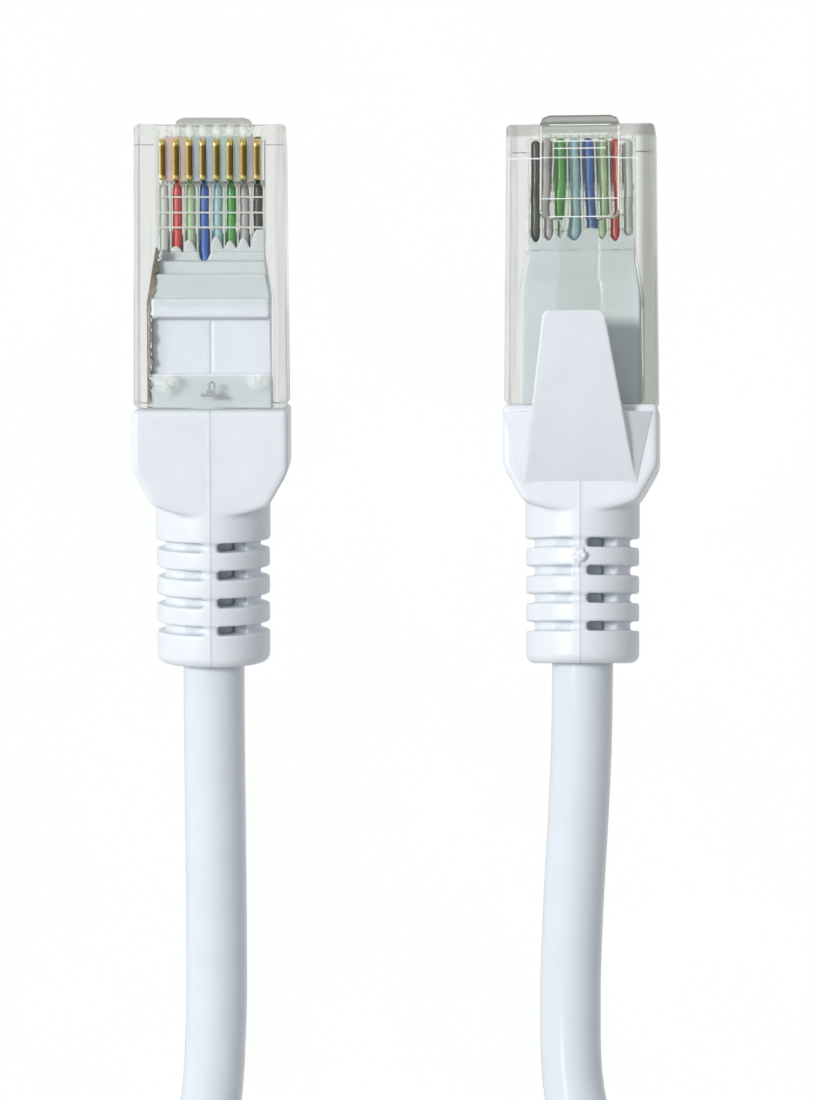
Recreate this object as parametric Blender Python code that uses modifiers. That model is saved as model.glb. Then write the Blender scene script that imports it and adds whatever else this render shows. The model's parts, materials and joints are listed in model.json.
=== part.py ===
"""Ethernet patch cable: two 8P8C plugs with snagless boots, joined by one round cable.

World frame: metres, +Z up, the floor at z = 0. The plugs lie side by side along Y with their
noses at +Y, and the origin is below the middle of the pair. Each plug is drawn in its own
frame: its nose at y = 0, the cable towards -y, and the latch side at +z.
"""
import math

import bmesh
import bpy
from mathutils import Euler, Vector

MM = 0.001
GAP = 0.3 * MM

# Plug housing
HOUSING_HALF_WIDTH = 5.85 * MM
NOSE_HALF_WIDTH = 5.68 * MM
HOUSING_HALF_HEIGHT = 3.3 * MM
HOUSING_LENGTH = 21.4 * MM
HOUSING_EDGE = 0.35 * MM
COMB_HALF_WIDTH = 4.05 * MM
COMB_SETBACK = 0.5 * MM
SLOT_WIDTH = 0.6 * MM
SLOT_END = -4.5 * MM
CHANNEL_TOP = 0.95 * MM
CHANNEL_BOTTOM = -0.6 * MM
CHANNEL_FRONT = -0.9 * MM
CHANNEL_HALF_WIDTH = 4.2 * MM
CAVITY_FRONT = -9.6 * MM
CAVITY_FLARE_END = -13.4 * MM
CAVITY_HALF_WIDTH = 4.85 * MM
CAVITY_HALF_HEIGHT = 2.4 * MM
WINDOW_FRONT = -13.6 * MM
WINDOW_REAR = -19.0 * MM
WINDOW_HALF_WIDTH = 4.65 * MM

# Contacts, wires and the comb that lines them up
PIN_COUNT = 8
PIN_PITCH = 1.02 * MM
CONTACT_THICKNESS = 0.3 * MM
CONTACT_FRONT = -1.1 * MM
CONTACT_REAR = -4.2 * MM
CONTACT_TOP = -2.9 * MM
CONTACT_BOTTOM = -0.55 * MM
CONTACT_CORNER = 0.5 * MM
CONTACT_CORNER_STEPS = 3
WIRE_RADIUS = 0.4 * MM
WIRE_FRONT = -1.2 * MM
WIRE_REAR = -9.7 * MM
BAR_FRONT = -5.45 * MM
BAR_REAR = -7.8 * MM
BAR_HALF_WIDTH = 4.05 * MM
BAR_SLOT = 0.88 * MM
BAR_TOP = 0.85 * MM
BAR_FLOOR = 0.48 * MM
BAR_TEETH = -0.45 * MM

# White inner mould
MOULD_FRONT = -10.0 * MM
MOULD_FLARE_END = -13.6 * MM
MOULD_REAR = -21.1 * MM
MOULD_FRONT_HALF_WIDTH = 3.85 * MM
MOULD_HALF_WIDTH = 4.5 * MM
MOULD_HALF_HEIGHT = 2.1 * MM
MOULD_RECESS_FRONT = -15.4 * MM
MOULD_RECESS_REAR = -19.0 * MM
MOULD_RECESS_DEPTH = 0.5 * MM
MOULD_RECESS_RIM = 0.4 * MM
MOULD_EDGE = 0.3 * MM

# Latch, a sloping plate hinged at the nose
LATCH_NOSE = 0.5 * MM
LATCH_SHOULDER = -7.5 * MM
LATCH_THUMB = -12.0 * MM
LATCH_END = -15.2 * MM
LATCH_HALF_WIDTH = 3.05 * MM
LATCH_TAIL_HALF_WIDTH = 1.5 * MM
LATCH_THUMB_HALF_WIDTH = 1.7 * MM
LATCH_THICKNESS = 0.7 * MM
LATCH_NOSE_Z = 3.95 * MM
LATCH_SLOPE = math.radians(5.4)
LATCH_CORNER = 0.5 * MM
LATCH_EDGE = 0.12 * MM

# Boot
BOOT_FRONT = -21.7 * MM
BOOT_HALF_WIDTH = 5.9 * MM
BOOT_HALF_HEIGHT = 4.4 * MM
BOOT_SHOULDER = -26.1 * MM
BOOT_SHOULDER_END = -28.8 * MM
BOOT_FLAT_END = -29.7 * MM
BOOT_EDGE = 0.45 * MM
SHOULDER_CUT = (0.4 * MM, 0.7 * MM)
SHOULDER_STEPS = 5
NECK_RADIUS = 4.4 * MM
NECK_END = -31.65 * MM
RING_RADIUS = 4.35 * MM
RING_COUNT = 3
RING_FIRST = -32.35 * MM
RING_PITCH = 2.12 * MM
RING_THICKNESS = 1.4 * MM
BOOT_END = -41.2 * MM
RING_EDGE = 0.25 * MM
END_EDGE = 0.7 * MM
CORE_RADIUS = 3.65 * MM
BORE_RADIUS = 2.65 * MM
RIB_HALF_WIDTH = 0.5 * MM
RIB_HALF_HEIGHT = 4.15 * MM
WINDOW_OUTER_X = 2.6 * MM
BOOT_SIDES = 32
BORE_SIDES = 24
WIRE_SIDES = 10

# Snagless tongue, a wedge hinged at the boot's shoulder
TONGUE_TIP = -14.6 * MM
TONGUE_ROOT = -27.7 * MM
TONGUE_TIP_HALF_WIDTH = 2.3 * MM
TONGUE_ROOT_HALF_WIDTH = 4.05 * MM
TONGUE_TIP_TOP = 7.2 * MM
TONGUE_TIP_BOTTOM = 6.1 * MM
TONGUE_ROOT_BOTTOM = 3.5 * MM
TONGUE_EDGE = 0.3 * MM
RECESS_FLOOR = 3.2 * MM

# Cable
CABLE_RADIUS = 2.35 * MM

# Hank: a racetrack of two turns beside and two on top of each other
HANK_INNER_RADIUS = 8 * CABLE_RADIUS
HANK_OUTER_RADIUS = HANK_INNER_RADIUS + 2 * CABLE_RADIUS
HANK_X = -1.0 * MM
HANK_TOP_Y = -88.0 * MM
HANK_RUN = 39.5 * MM
HANK_HEIGHT = 4 * CABLE_RADIUS
HANK_ARC_STEPS = 24
TIE_WIDTH = 3.6 * MM
TIE_WALL = 0.5 * MM

# The leads' routes in millimetres, from inside each boot to just before the hank
LEAD_POINT_SPACING = 4 * CABLE_RADIUS
LEAD_A = (
    (-14.36, -1.08, 6.41), (-14.36, -7.64, 5.70), (-14.36, -14.21, 5.00), (-14.36, -20.77, 4.30),
    (-14.35, -27.0, 3.63), (-14.3, -34.0, 2.95), (-14.25, -42.0, 2.45), (-14.3, -49.0, 2.35),
    (-14.85, -56.0, 2.35), (-16.9, -63.0, 2.35), (-17.9, -65.35, 2.35),
)
LEAD_B = (
    (14.04, -1.09, 4.84), (14.04, -7.69, 5.03), (14.04, -14.29, 5.21), (14.04, -20.88, 5.40),
    (13.96, -27.0, 5.2), (13.73, -33.0, 4.6), (13.37, -40.0, 4.0), (13.17, -47.0, 3.9),
    (13.45, -54.0, 4.5), (15.35, -61.0, 5.7), (17.7, -66.4, 6.45),
)

# How the plugs lie: plug A rests on its tongue, plug B on its contact side
PLUG_A_X = -14.36 * MM
PLUG_A_Y = 20.2 * MM
PLUG_A_PITCH = math.radians(6.1)
PLUG_B_X = 14.04 * MM
PLUG_B_Y = 20.3 * MM
PLUG_B_PITCH = math.radians(-1.6)
PLUG_B_ROLL = math.radians(-5.0)

WIRE_COLOURS = (
    (0.62, 0.64, 0.64),
    (0.48, 0.07, 0.07),
    (0.36, 0.55, 0.32),
    (0.05, 0.13, 0.41),
    (0.34, 0.51, 0.60),
    (0.09, 0.30, 0.07),
    (0.41, 0.36, 0.33),
    (0.07, 0.06, 0.065),
)


def clear_scene():
    for obj in list(bpy.data.objects):
        bpy.data.objects.remove(obj)


def material(name, colour, roughness, metallic=0.0, transmission=0.0):
    mat = bpy.data.materials.new(name)
    mat.use_nodes = True
    shader = mat.node_tree.nodes["Principled BSDF"]
    shader.inputs["Base Color"].default_value = (*colour, 1.0)
    shader.inputs["Roughness"].default_value = roughness
    shader.inputs["Metallic"].default_value = metallic
    shader.inputs["Transmission Weight"].default_value = transmission
    return mat


def temporary(bm):
    """Wrap a bmesh in an object that is only used while a piece is made."""
    mesh = bpy.data.meshes.new("temporary")
    bm.to_mesh(mesh)
    bm.free()
    obj = bpy.data.objects.new("temporary", mesh)
    bpy.context.scene.collection.objects.link(obj)
    return obj


def bake(obj):
    """Return the object's evaluated mesh, welded and facing out, and remove the object."""
    bpy.context.view_layer.update()
    evaluated = obj.evaluated_get(bpy.context.evaluated_depsgraph_get())
    mesh = bpy.data.meshes.new_from_object(evaluated)
    mesh.transform(obj.matrix_world)
    bpy.data.objects.remove(obj)
    bm = bmesh.new()
    bm.from_mesh(mesh)
    bmesh.ops.remove_doubles(bm, verts=bm.verts, dist=0.002 * MM)
    bmesh.ops.recalc_face_normals(bm, faces=bm.faces)
    bm.to_mesh(mesh)
    bm.free()
    return mesh


def combined(mesh, tool, operation):
    """Apply one Boolean and return the new mesh."""
    body = bpy.data.objects.new("body", mesh)
    cutter = bpy.data.objects.new("cutter", tool)
    for obj in (body, cutter):
        bpy.context.scene.collection.objects.link(obj)
    modifier = body.modifiers.new("Boolean", "BOOLEAN")
    modifier.operation = operation
    modifier.object = cutter
    result = bake(body)
    bpy.data.objects.remove(cutter)
    return result


def cut(mesh, *tools):
    for tool in tools:
        mesh = combined(mesh, tool, "DIFFERENCE")
    return mesh


def join(mesh, *tools):
    for tool in tools:
        mesh = combined(mesh, tool, "UNION")
    return mesh


def rounded(bm, width, segments=2, angle=math.radians(35)):
    """Bake a bmesh with its sharp edges bevelled."""
    obj = temporary(bm)
    modifier = obj.modifiers.new("Bevel", "BEVEL")
    modifier.width = width
    modifier.segments = segments
    modifier.limit_method = "ANGLE"
    modifier.angle_limit = angle
    return bake(obj)


def add_box(bm, low, high):
    middle = (Vector(low) + Vector(high)) / 2
    size = Vector(high) - Vector(low)
    made = bmesh.ops.create_cube(bm, size=1.0)["verts"]
    bmesh.ops.scale(bm, verts=made, vec=size)
    bmesh.ops.translate(bm, verts=made, vec=middle)
    return made


def box(low, high):
    bm = bmesh.new()
    add_box(bm, low, high)
    return bake(temporary(bm))


def plate(outline, low, high):
    """Extrude a flat XY outline from z = low to z = high."""
    bm = bmesh.new()
    face = bm.faces.new([bm.verts.new((x, y, low)) for x, y in outline])
    made = bmesh.ops.extrude_face_region(bm, geom=[face])["geom"]
    top = [item for item in made if isinstance(item, bmesh.types.BMVert)]
    bmesh.ops.translate(bm, verts=top, vec=(0, 0, high - low))
    bmesh.ops.recalc_face_normals(bm, faces=bm.faces)
    return bm


def mirrored(points):
    """Close a half outline, given at +x from front to rear, with its mirror image."""
    return points + [(-x, y) for x, y in reversed(points) if x > 0]


def cylinder_y(radius, start, end, sides=BOOT_SIDES):
    bm = bmesh.new()
    length = abs(end - start)
    made = bmesh.ops.create_cone(bm, cap_ends=True, segments=sides, radius1=radius, radius2=radius,
                                 depth=length)["verts"]
    bmesh.ops.rotate(bm, verts=made, matrix=Euler((math.pi / 2, 0, 0)).to_matrix())
    bmesh.ops.translate(bm, verts=made, vec=(0, (start + end) / 2, 0))
    return bake(temporary(bm))


def turned_y(profile, sides=BOOT_SIDES):
    """Turn a profile of (radius, y) points, which starts and ends on the axis, about Y."""
    bm = bmesh.new()
    verts = [bm.verts.new((radius, y, 0)) for radius, y in profile]
    for first, second in zip(verts, verts[1:]):
        bm.edges.new((first, second))
    obj = temporary(bm)
    modifier = obj.modifiers.new("Screw", "SCREW")
    modifier.axis = "Y"
    modifier.steps = sides
    modifier.render_steps = sides
    modifier.use_merge_vertices = True
    modifier.merge_threshold = 0.01 * MM
    return bake(obj)


def pin_x(index):
    """Place of a pin across the plug, seen from the latch side; pin 1 is at +x."""
    return ((PIN_COUNT + 1) / 2 - index) * PIN_PITCH


def housing_mesh():
    bm = bmesh.new()
    body = add_box(bm, (-HOUSING_HALF_WIDTH, -HOUSING_LENGTH, -HOUSING_HALF_HEIGHT),
                   (HOUSING_HALF_WIDTH, 0, HOUSING_HALF_HEIGHT))
    for vert in body:
        if vert.co.y > -HOUSING_LENGTH / 2:
            vert.co.x *= NOSE_HALF_WIDTH / HOUSING_HALF_WIDTH
    mesh = rounded(bm, HOUSING_EDGE)
    below = -HOUSING_HALF_HEIGHT - MM
    setback = box((-COMB_HALF_WIDTH, -COMB_SETBACK, below), (COMB_HALF_WIDTH, MM, CHANNEL_BOTTOM))
    slots = bmesh.new()
    for index in range(1, PIN_COUNT + 1):
        middle = pin_x(index)
        add_box(slots, (middle - SLOT_WIDTH / 2, SLOT_END, below),
                (middle + SLOT_WIDTH / 2, MM, CHANNEL_BOTTOM + 0.1 * MM))
    channel = box((-CHANNEL_HALF_WIDTH, CAVITY_FRONT - MM, CHANNEL_BOTTOM),
                  (CHANNEL_HALF_WIDTH, CHANNEL_FRONT, CHANNEL_TOP))
    outline = mirrored([(CHANNEL_HALF_WIDTH, CAVITY_FRONT), (CAVITY_HALF_WIDTH, CAVITY_FLARE_END),
                        (CAVITY_HALF_WIDTH, -HOUSING_LENGTH - MM)])
    cavity = bake(temporary(plate(outline, -CAVITY_HALF_HEIGHT, CAVITY_HALF_HEIGHT)))
    window = box((-WINDOW_HALF_WIDTH, WINDOW_REAR, below),
                 (WINDOW_HALF_WIDTH, WINDOW_FRONT, -CAVITY_HALF_HEIGHT + 0.1 * MM))
    return cut(mesh, setback, bake(temporary(slots)), channel, cavity, window)


def contact_mesh():
    """A blade in the YZ plane, with its front upper corner turned down towards the nose."""
    corner = CONTACT_CORNER
    steps = CONTACT_CORNER_STEPS
    outline = [(CONTACT_REAR, CONTACT_BOTTOM), (CONTACT_REAR, CONTACT_TOP)]
    for step in range(steps + 1):
        angle = math.pi / 2 * step / steps
        outline.append((CONTACT_FRONT - corner + corner * math.sin(angle),
                        CONTACT_TOP + corner - corner * math.cos(angle)))
    outline.append((CONTACT_FRONT, CONTACT_BOTTOM))
    bm = plate([(-z, y) for y, z in outline], -CONTACT_THICKNESS / 2, CONTACT_THICKNESS / 2)
    bmesh.ops.rotate(bm, verts=bm.verts, matrix=Euler((0, math.pi / 2, 0)).to_matrix())
    return bake(temporary(bm))


def load_bar_mesh():
    mesh = box((-BAR_HALF_WIDTH, BAR_REAR, BAR_TEETH), (BAR_HALF_WIDTH, BAR_FRONT, BAR_TOP))
    slots = bmesh.new()
    for index in range(1, PIN_COUNT + 1):
        middle = pin_x(index)
        add_box(slots, (middle - BAR_SLOT / 2, BAR_REAR - MM, BAR_TEETH - MM),
                (middle + BAR_SLOT / 2, BAR_FRONT + MM, BAR_FLOOR))
    return cut(mesh, bake(temporary(slots)))


def mould_mesh():
    outline = mirrored([(MOULD_FRONT_HALF_WIDTH, MOULD_FRONT), (MOULD_HALF_WIDTH, MOULD_FLARE_END),
                        (MOULD_HALF_WIDTH, MOULD_REAR)])
    mesh = rounded(plate(outline, -MOULD_HALF_HEIGHT, MOULD_HALF_HEIGHT), MOULD_EDGE, 1)
    half_width = MOULD_HALF_WIDTH - MOULD_RECESS_RIM
    recess = box((-half_width, MOULD_RECESS_REAR, -MOULD_HALF_HEIGHT - MM),
                 (half_width, MOULD_RECESS_FRONT, -MOULD_HALF_HEIGHT + MOULD_RECESS_DEPTH))
    return cut(mesh, recess)


def latch_mesh():
    corner = LATCH_CORNER
    outline = mirrored([
        (LATCH_HALF_WIDTH - corner, LATCH_NOSE), (LATCH_HALF_WIDTH, LATCH_NOSE - corner),
        (LATCH_HALF_WIDTH, LATCH_SHOULDER), (LATCH_TAIL_HALF_WIDTH, LATCH_SHOULDER),
        (LATCH_TAIL_HALF_WIDTH, LATCH_THUMB), (LATCH_THUMB_HALF_WIDTH, LATCH_THUMB - corner),
        (LATCH_THUMB_HALF_WIDTH, LATCH_END)])
    bm = plate(outline, -LATCH_THICKNESS / 2, LATCH_THICKNESS / 2)
    bmesh.ops.rotate(bm, verts=bm.verts, matrix=Euler((-LATCH_SLOPE, 0, 0)).to_matrix())
    bmesh.ops.translate(bm, verts=bm.verts, vec=(0, 0, LATCH_NOSE_Z))
    return rounded(bm, LATCH_EDGE, 1)


def tongue_mesh():
    bm = bmesh.new()
    for vert in add_box(bm, (-1, -1, -1), (1, 1, 1)):
        tip = vert.co.y > 0
        half_width = TONGUE_TIP_HALF_WIDTH if tip else TONGUE_ROOT_HALF_WIDTH
        top = TONGUE_TIP_TOP if tip else BOOT_HALF_HEIGHT
        bottom = TONGUE_TIP_BOTTOM if tip else TONGUE_ROOT_BOTTOM
        vert.co = (half_width * vert.co.x, TONGUE_TIP if tip else TONGUE_ROOT,
                   top if vert.co.z > 0 else bottom)
    return rounded(bm, TONGUE_EDGE)


def boot_profile():
    """Turned outline of the boot's neck, grooves and rings as (radius, y) points."""
    points = [(0, BOOT_SHOULDER), (NECK_RADIUS, BOOT_SHOULDER), (NECK_RADIUS, NECK_END + RING_EDGE),
              (NECK_RADIUS - RING_EDGE, NECK_END), (CORE_RADIUS, NECK_END)]
    for ring in range(RING_COUNT):
        front = RING_FIRST - ring * RING_PITCH
        rear = front - RING_THICKNESS
        points += [(CORE_RADIUS, front), (RING_RADIUS - RING_EDGE, front),
                   (RING_RADIUS, front - RING_EDGE), (RING_RADIUS, rear + RING_EDGE),
                   (RING_RADIUS - RING_EDGE, rear), (CORE_RADIUS, rear)]
    front = RING_FIRST - RING_COUNT * RING_PITCH
    points += [(CORE_RADIUS, front), (RING_RADIUS - RING_EDGE, front),
               (RING_RADIUS, front - RING_EDGE), (RING_RADIUS, BOOT_END + END_EDGE),
               (RING_RADIUS - END_EDGE / 3, BOOT_END + END_EDGE / 3),
               (RING_RADIUS - END_EDGE, BOOT_END), (0, BOOT_END)]
    return points


def boot_outline():
    """Half of the block's plan outline, with the round end of its flat face."""
    points = [(BOOT_HALF_WIDTH, BOOT_FRONT), (BOOT_HALF_WIDTH, BOOT_SHOULDER),
              (BOOT_HALF_WIDTH - SHOULDER_CUT[0], BOOT_SHOULDER - SHOULDER_CUT[1])]
    steps = SHOULDER_STEPS
    for step in range(steps + 1):
        across = 1 - step / steps
        depth = BOOT_SHOULDER_END - BOOT_FLAT_END
        points.append((NECK_RADIUS * across, BOOT_FLAT_END + depth * across ** 2))
    return points


def groove_windows():
    """Openings beside the centre ribs, in every groove, on both faces."""
    bm = bmesh.new()
    for groove in range(RING_COUNT + 1):
        rear = RING_FIRST - groove * RING_PITCH
        front = rear + RING_PITCH - RING_THICKNESS
        for side in (-1, 1):
            x_low, x_high = sorted((side * RIB_HALF_WIDTH, side * WINDOW_OUTER_X))
            for face in (-1, 1):
                z_low, z_high = sorted((face * MM, face * 2 * BOOT_HALF_HEIGHT))
                add_box(bm, (x_low, rear, z_low), (x_high, front, z_high))
    return bake(temporary(bm))


def boot_mesh():
    block = rounded(plate(mirrored(boot_outline()), -BOOT_HALF_HEIGHT, BOOT_HALF_HEIGHT), BOOT_EDGE)
    rib_end = RING_FIRST - RING_COUNT * RING_PITCH - RING_EDGE
    rib = box((-RIB_HALF_WIDTH, rib_end, -RIB_HALF_HEIGHT),
              (RIB_HALF_WIDTH, NECK_END + MM, RIB_HALF_HEIGHT))
    mesh = join(block, turned_y(boot_profile()), rib)
    bore = cylinder_y(BORE_RADIUS, BOOT_FRONT + MM, BOOT_END - MM, BORE_SIDES)
    pocket = mirrored([(pocket_half_width(BOOT_FRONT + MM), BOOT_FRONT + MM),
                       (pocket_half_width(TONGUE_ROOT - GAP), TONGUE_ROOT - GAP)])
    recess = bake(temporary(plate(pocket, RECESS_FLOOR, 2 * BOOT_HALF_HEIGHT)))
    return cut(mesh, bore, groove_windows(), recess)


def pocket_half_width(y):
    """Half width, at y, of the pocket that the tongue folds into."""
    share = (y - TONGUE_TIP) / (TONGUE_ROOT - TONGUE_TIP)
    return TONGUE_TIP_HALF_WIDTH + share * (TONGUE_ROOT_HALF_WIDTH - TONGUE_TIP_HALF_WIDTH) + GAP


def smooth_curve(points, spacing):
    """Points about spacing apart along a Catmull-Rom curve through the route's own points."""
    knots = [Vector(point) for point in points]
    knots = [2 * knots[0] - knots[1]] + knots + [2 * knots[-1] - knots[-2]]
    result = []
    for before, start, end, after in zip(knots, knots[1:], knots[2:], knots[3:]):
        count = max(1, round((end - start).length / spacing))
        for step in range(count):
            t = step / count
            result.append(0.5 * (2 * start + (end - before) * t
                                 + (2 * before - 5 * start + 4 * end - after) * t ** 2
                                 + (3 * start - before - 3 * end + after) * t ** 3))
    return result + [knots[-2]]


def hank_outline(radius):
    """Racetrack outline at one radius: two straight runs and two round ends."""
    points = []
    for centre_y, first in ((HANK_TOP_Y, 0.0), (HANK_TOP_Y - HANK_RUN, math.pi)):
        for step in range(HANK_ARC_STEPS + 1):
            angle = first + math.pi * step / HANK_ARC_STEPS
            points.append((HANK_X + radius * math.cos(angle), centre_y + radius * math.sin(angle)))
    return points


def framed_box(low, high, wall, reach):
    """A rectangular tube along Y, wall thick inside the given box, reaching outside it."""
    outer = box((low[0] - reach, low[1], low[2] - reach),
                (high[0] + reach, high[1], high[2] + reach))
    inner = box((low[0] + wall, low[1] - MM, low[2] + wall),
                (high[0] - wall, high[1] + MM, high[2] - wall))
    return cut(outer, inner)


def tie_box(side, extra):
    """Corners of the space that a tie fills round one straight run of the hank."""
    inner = HANK_X + side * (HANK_INNER_RADIUS - CABLE_RADIUS)
    x_low, x_high = sorted((inner, inner + side * 4 * CABLE_RADIUS))
    middle = HANK_TOP_Y - HANK_RUN / 2
    half = TIE_WIDTH / 2 + extra
    return (x_low, middle - half, 0), (x_high, middle + half, HANK_HEIGHT)


def hank_mesh():
    outer = bake(temporary(plate(hank_outline(HANK_OUTER_RADIUS + CABLE_RADIUS), 0, HANK_HEIGHT)))
    hole = hank_outline(HANK_INNER_RADIUS - CABLE_RADIUS)
    inner = bake(temporary(plate(hole, -MM, HANK_HEIGHT + MM)))
    waists = [framed_box(*tie_box(side, GAP), TIE_WALL + GAP, MM) for side in (-1, 1)]
    return cut(outer, inner, *waists)


def tie_mesh(side):
    return framed_box(*tie_box(side, 0), TIE_WALL, 0)


def build_cable(name, points, collection, mat):
    curve = bpy.data.curves.new(name, "CURVE")
    curve.dimensions = "3D"
    curve.bevel_depth = CABLE_RADIUS
    curve.bevel_resolution = 3
    curve.use_fill_caps = True
    spline = curve.splines.new("POLY")
    spline.points.add(len(points) - 1)
    for target, point in zip(spline.points, points):
        target.co = (*point, 1.0)
    curve.materials.append(mat)
    obj = bpy.data.objects.new(name, curve)
    collection.objects.link(obj)
    return obj


def plug_meshes():
    """Every mesh of one plug in the plug's own frame, by piece name, with its material."""
    clear = material("clear_polycarbonate", (0.86, 0.88, 0.85), 0.12, transmission=0.85)
    white = material("white_pvc", (0.80, 0.82, 0.85), 0.42)
    gold = material("gold_contacts", (0.83, 0.62, 0.22), 0.25, metallic=1.0)
    pieces = {
        "housing": (housing_mesh(), clear),
        "load_bar": (load_bar_mesh(), clear),
        "latch": (latch_mesh(), clear),
        "inner_mould": (mould_mesh(), white),
        "boot": (boot_mesh(), white),
        "boot_tongue": (tongue_mesh(), white),
    }
    contact = contact_mesh()
    wire = cylinder_y(WIRE_RADIUS, WIRE_FRONT, WIRE_REAR, WIRE_SIDES)
    for index in range(1, PIN_COUNT + 1):
        insulation = material("wire_%d" % index, WIRE_COLOURS[index - 1], 0.45)
        pieces["contact_%d" % index] = (contact, gold)
        pieces["wire_%d" % index] = (wire, insulation)
    return pieces


def place_plug(suffix, pieces, location, rotation, collection):
    """Hang one plug's pieces on an empty, and let the plug down until it touches the floor."""
    frame = bpy.data.objects.new("plug_" + suffix, None)
    frame.rotation_mode = "YXZ"
    frame.rotation_euler = rotation
    collection.objects.link(frame)
    made = []
    for name, (mesh, mat) in pieces.items():
        obj = bpy.data.objects.new(name + "_" + suffix, mesh)
        obj.parent = frame
        collection.objects.link(obj)
        if not mesh.materials:
            mesh.materials.append(None)
        obj.material_slots[0].link = "OBJECT"
        obj.material_slots[0].material = mat
        if name.startswith(("contact_", "wire_")):
            obj.location.x = pin_x(int(name.split("_")[1]))
        made.append(obj)
    bpy.context.view_layer.update()
    lowest = min((obj.matrix_world @ vert.co).z for obj in made for vert in obj.data.vertices)
    frame.location = (location[0], location[1], -lowest)


def build():
    clear_scene()
    collection = bpy.data.collections.new("ethernet_patch_cable")
    bpy.context.scene.collection.children.link(collection)
    pieces = plug_meshes()
    flipped = math.pi
    place_plug("a", pieces, (PLUG_A_X, PLUG_A_Y), (PLUG_A_PITCH, flipped, 0), collection)
    place_plug("b", pieces, (PLUG_B_X, PLUG_B_Y), (PLUG_B_PITCH, PLUG_B_ROLL, 0), collection)
    jacket = material("white_jacket", (0.80, 0.83, 0.86), 0.25)
    tie = material("black_tie", (0.02, 0.02, 0.02), 0.5)
    for name, mesh, mat in (("cable_hank", hank_mesh(), jacket), ("tie_left", tie_mesh(-1), tie),
                            ("tie_right", tie_mesh(1), tie)):
        obj = bpy.data.objects.new(name, mesh)
        mesh.materials.append(mat)
        collection.objects.link(obj)
    for name, points in (("cable_a", LEAD_A), ("cable_b", LEAD_B)):
        route = smooth_curve([Vector(point) * MM for point in points], LEAD_POINT_SPACING)
        build_cable(name, route, collection, jacket)


build()
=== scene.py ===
"""Looks of the ethernet patch cable: two clear 8P8C plugs with white snagless boots on one white cable."""
import json
import math

import bmesh
import bpy
from mathutils import Matrix, Vector, noise


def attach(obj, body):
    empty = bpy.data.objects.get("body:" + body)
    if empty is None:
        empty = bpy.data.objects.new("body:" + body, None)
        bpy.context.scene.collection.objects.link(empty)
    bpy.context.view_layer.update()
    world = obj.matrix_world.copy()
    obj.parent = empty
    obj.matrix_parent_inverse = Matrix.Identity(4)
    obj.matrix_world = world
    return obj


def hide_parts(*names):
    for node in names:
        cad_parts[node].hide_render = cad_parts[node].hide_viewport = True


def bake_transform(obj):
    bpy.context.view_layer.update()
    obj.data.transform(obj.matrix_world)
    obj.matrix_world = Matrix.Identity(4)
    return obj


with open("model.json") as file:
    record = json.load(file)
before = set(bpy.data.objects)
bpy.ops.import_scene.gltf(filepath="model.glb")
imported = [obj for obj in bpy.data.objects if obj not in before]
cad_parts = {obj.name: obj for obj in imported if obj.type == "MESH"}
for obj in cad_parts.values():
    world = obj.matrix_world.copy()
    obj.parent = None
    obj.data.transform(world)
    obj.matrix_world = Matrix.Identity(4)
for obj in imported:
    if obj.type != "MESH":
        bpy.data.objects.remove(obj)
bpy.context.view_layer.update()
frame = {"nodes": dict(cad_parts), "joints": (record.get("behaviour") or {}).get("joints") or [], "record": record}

MM = 0.001
BEVEL_ANGLE = math.radians(35)

# Plug sizes in millimetres, in the plug's own frame: nose at y = 0, latch side at +z
NOSE_MOUNT_HEIGHT = 1.9
PIN_COUNT = 8
PIN_PITCH = 1.02
CONTACT_WIDTH = 0.38
CONTACT_FRONT = -1.1
CONTACT_REAR = -4.2
CONTACT_TOP = 2.9
CONTACT_FOOT = 0.55
CONTACT_CORNER = 0.5
WIRE_RADIUS = 0.36
WIRE_FRONT = -0.95
WIRE_REAR = -11.0

BOOT_FRONT = -21.5
BOOT_HALF_WIDTH = 5.9
BOOT_HALF_HEIGHT = 4.4
BOOT_SHOULDER = -26.1
BOOT_SHOULDER_END = -28.8
BOOT_FLAT_END = -29.7
BOOT_END = -41.2
BOOT_END_CORNER = 0.55
NECK_RADIUS = 4.4
NECK_END = -31.65
CORE_RADIUS = 3.65
BORE_RADIUS = 2.42
RING_RADIUS = 4.35
RING_COUNT = 3
RING_FIRST = -32.35
RING_PITCH = 2.12
RING_THICKNESS = 1.4
END_RING_FRONT = RING_FIRST - RING_COUNT * RING_PITCH
RIB_HALF_WIDTH = 0.5
RIB_HALF_HEIGHT = 4.15
WINDOW_OUTER_X = 2.6
WINDOW_FLOOR = 1.9
SHALLOW_WINDOW_FLOOR = 2.95
SEAM_HEIGHT = 0.03
SEAM_HALF_WIDTH = 0.16

TONGUE_TIP = -14.6
TONGUE_ROOT = -27.7
TONGUE_TIP_HALF_WIDTH = 2.3
TONGUE_ROOT_HALF_WIDTH = 4.3
TONGUE_TIP_TOP = 7.2
TONGUE_TIP_BOTTOM = 6.1
TONGUE_BOTTOM_DROP = 2.4
TONGUE_SLOPE = 1.47
TONGUE_CURVE = 1.48
TONGUE_CURVE_POWER = 3.2
TONGUE_LEAN = -0.38

MOULD_HALF_HEIGHT = 2.1
MOULD_REAR = -21.3
MOULD_RECESS_FRONT = -14.7
MOULD_RECESS_REAR = -18.9

LATCH_NOSE = 0.5
LATCH_SHOULDER = -7.5
LATCH_THUMB = -12.0
LATCH_END = -15.2
LATCH_HALF_WIDTH = 3.05
LATCH_TAIL_HALF_WIDTH = 1.5
LATCH_THUMB_HALF_WIDTH = 1.7
LATCH_HALF_THICKNESS = 0.35
LATCH_NOSE_Z = 3.95
LATCH_SLOPE = math.radians(5.4)

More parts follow.
